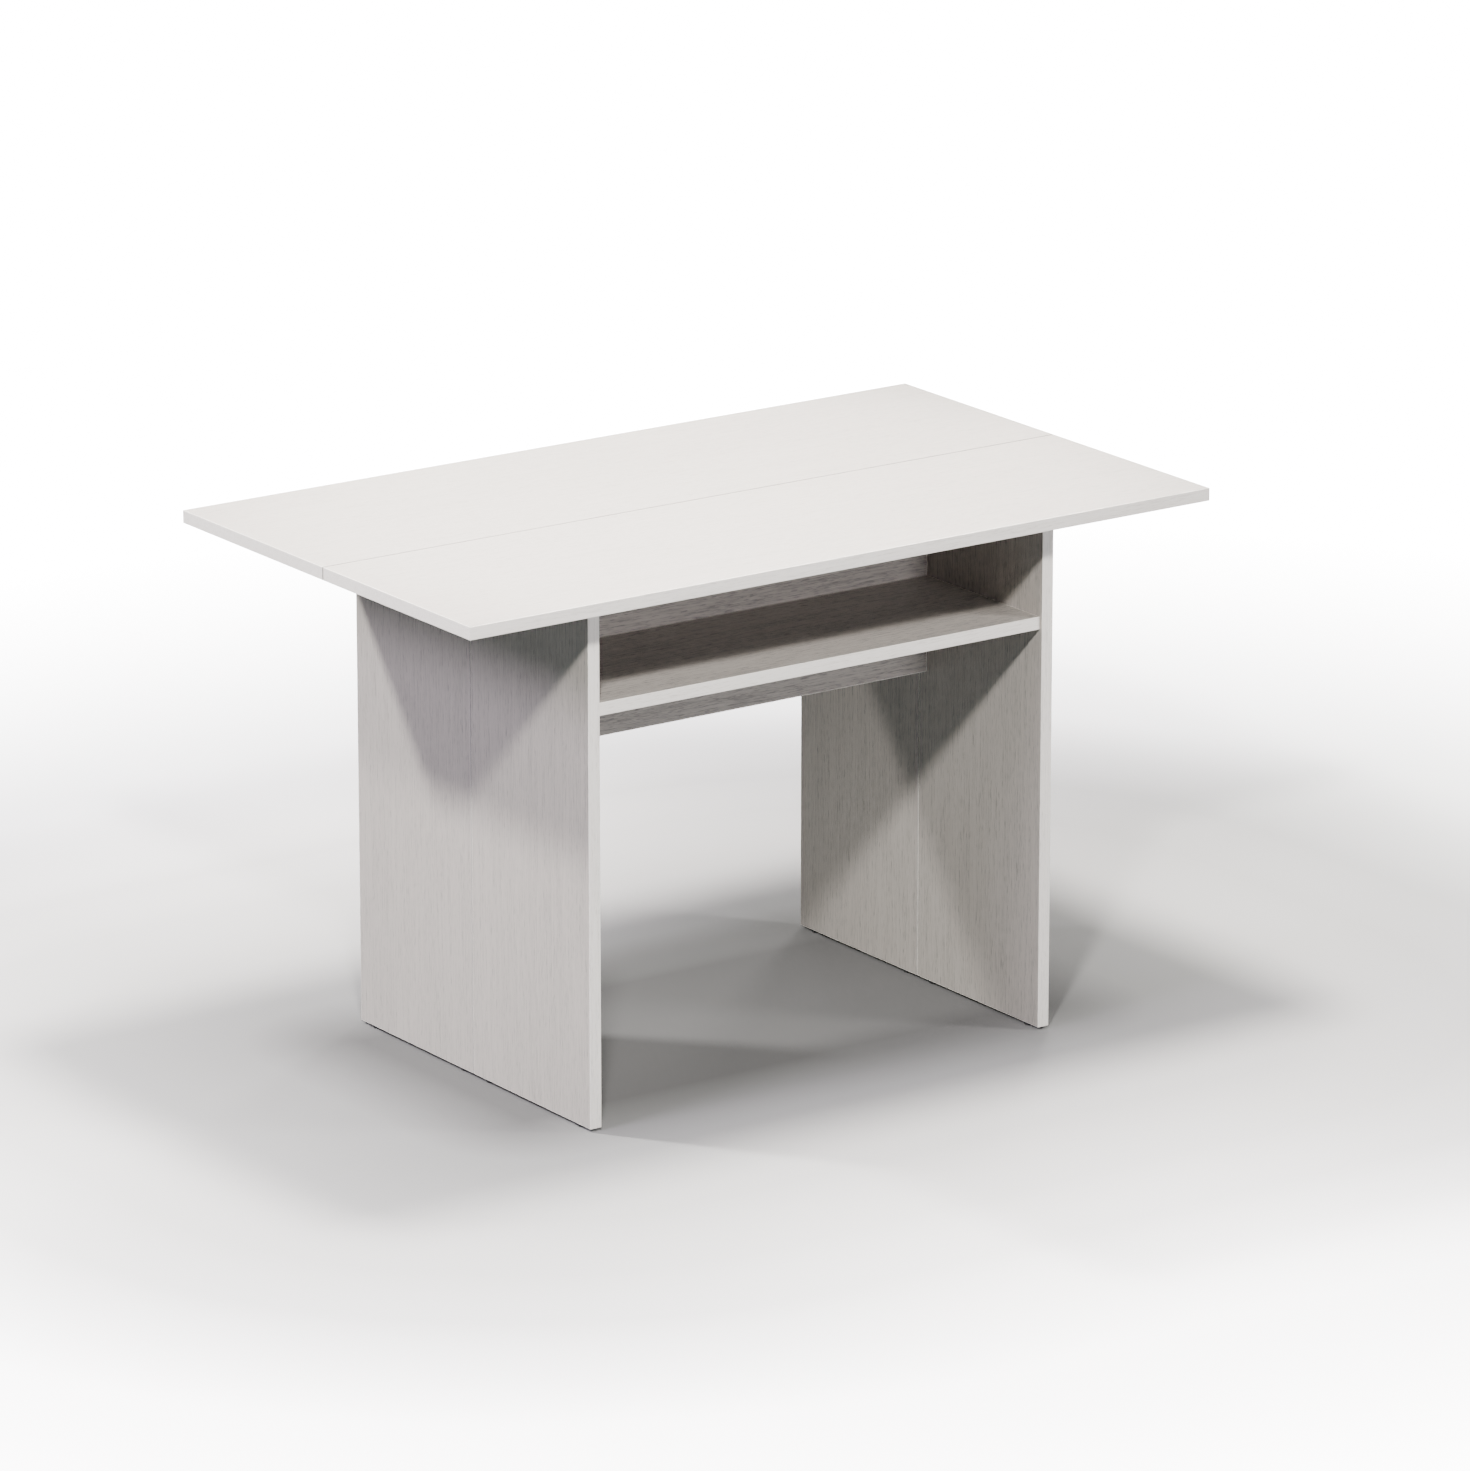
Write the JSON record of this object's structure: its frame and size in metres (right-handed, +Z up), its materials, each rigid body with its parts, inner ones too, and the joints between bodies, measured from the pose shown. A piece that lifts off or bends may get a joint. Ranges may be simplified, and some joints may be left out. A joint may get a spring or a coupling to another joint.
{
  "type": "gateleg table",
  "caption": "Fold-over gateleg table: flip-over rear leaf, hinged gate panels, apron and open shelf, in whitewashed wood-grain board.",
  "frame": {"origin": "on the floor, under the middle of the open tabletop", "axes": "+X along the table's length, +Y towards the rear leaf (the open shelf faces -Y), +Z up"},
  "size_m": [1.2, 0.701, 0.745],
  "materials": {
    "board": "whitewashed wood-grain melamine on 18 mm board, satin",
    "hinge_barrel": "satin brass, machined",
    "steel": "bright zinc-plated steel",
    "cam": "die-cast zinc alloy, dull",
    "glide": "dark moulded plastic"
  },
  "bodies": {
    "carcase": {"front_leaf": "board", "left_side_panel": "board", "right_side_panel": "board", "apron": "board", "shelf": "board", "leaf_hinge_left_front_barrel": "hinge_barrel", "leaf_hinge_centre_front_barrel": "hinge_barrel", "leaf_hinge_right_front_barrel": "hinge_barrel", "left_hinge_upper_panel_barrel": "hinge_barrel", "left_hinge_lower_panel_barrel": "hinge_barrel", "right_hinge_upper_panel_barrel": "hinge_barrel", "right_hinge_lower_panel_barrel": "hinge_barrel", "shelf_left_front_bolt": "steel", "shelf_left_rear_bolt": "steel", "shelf_right_front_bolt": "steel", "shelf_right_rear_bolt": "steel", "apron_left_upper_bolt": "steel", "apron_left_lower_bolt": "steel", "apron_right_upper_bolt": "steel", "apron_right_lower_bolt": "steel", "apron_top_left_bolt": "steel", "apron_top_right_bolt": "steel", "shelf_left_front_cam": "cam", "shelf_left_rear_cam": "cam", "shelf_right_front_cam": "cam", "shelf_right_rear_cam": "cam", "apron_left_upper_cam": "cam", "apron_left_lower_cam": "cam", "apron_right_upper_cam": "cam", "apron_right_lower_cam": "cam", "apron_top_left_cam": "cam", "apron_top_right_cam": "cam", "left_panel_front_glide": "glide", "left_panel_rear_glide": "glide", "right_panel_front_glide": "glide", "right_panel_rear_glide": "glide"},
    "rear_leaf": {"rear_leaf": "board", "leaf_hinge_left_rear_barrel": "hinge_barrel", "leaf_hinge_centre_rear_barrel": "hinge_barrel", "leaf_hinge_right_rear_barrel": "hinge_barrel"},
    "leaf_first_links": {"leaf_hinge_left_first_link": "steel", "leaf_hinge_centre_first_link": "steel", "leaf_hinge_right_first_link": "steel"},
    "leaf_second_links": {"leaf_hinge_left_second_link": "steel", "leaf_hinge_centre_second_link": "steel", "leaf_hinge_right_second_link": "steel"},
    "left_gate": {"left_gate_panel": "board", "left_hinge_upper_gate_barrel": "hinge_barrel", "left_hinge_lower_gate_barrel": "hinge_barrel", "left_gate_front_glide": "glide", "left_gate_rear_glide": "glide"},
    "left_gate_links": {"left_hinge_upper_link": "steel", "left_hinge_lower_link": "steel"},
    "right_gate": {"right_gate_panel": "board", "right_hinge_upper_gate_barrel": "hinge_barrel", "right_hinge_lower_gate_barrel": "hinge_barrel", "right_gate_front_glide": "glide", "right_gate_rear_glide": "glide"},
    "right_gate_links": {"right_hinge_upper_link": "steel", "right_hinge_lower_link": "steel"}
  },
  "joints": [
    {"name": "leaf_fold", "type": "hinge", "parent": "carcase", "child": "rear_leaf", "pos_m": [0, 0, 0.74525], "axis": [1, 0, 0], "range_deg": [0, 180]},
    {"name": "leaf_first_links_turn", "type": "hinge", "parent": "carcase", "child": "leaf_first_links", "pos_m": [0, 0, 0.74525], "axis": [1, 0, 0], "range_deg": [0, 60]},
    {"name": "leaf_second_links_turn", "type": "hinge", "parent": "carcase", "child": "leaf_second_links", "pos_m": [0, 0, 0.74525], "axis": [1, 0, 0], "range_deg": [0, 120]},
    {"name": "left_gate_fold", "type": "hinge", "parent": "carcase", "child": "left_gate", "pos_m": [-0.361, -0.0125, 0.365], "axis": [0, 0, -1], "range_deg": [0, 90]},
    {"name": "left_gate_links_turn", "type": "hinge", "parent": "carcase", "child": "left_gate_links", "pos_m": [-0.361, -0.0125, 0.365], "axis": [0, 0, -1], "range_deg": [0, 45]},
    {"name": "right_gate_fold", "type": "hinge", "parent": "carcase", "child": "right_gate", "pos_m": [0.361, -0.0125, 0.365], "axis": [0, 0, 1], "range_deg": [0, 90]},
    {"name": "right_gate_links_turn", "type": "hinge", "parent": "carcase", "child": "right_gate_links", "pos_m": [0.361, -0.0125, 0.365], "axis": [0, 0, 1], "range_deg": [0, 45]}
  ],
  "couplings": [
    {"joint": "leaf_first_links_turn", "follows": "leaf_fold", "ratio": 0.3333},
    {"joint": "leaf_second_links_turn", "follows": "leaf_fold", "ratio": 0.6666},
    {"joint": "left_gate_links_turn", "follows": "left_gate_fold", "ratio": 0.5},
    {"joint": "right_gate_links_turn", "follows": "right_gate_fold", "ratio": 0.5}
  ]
}
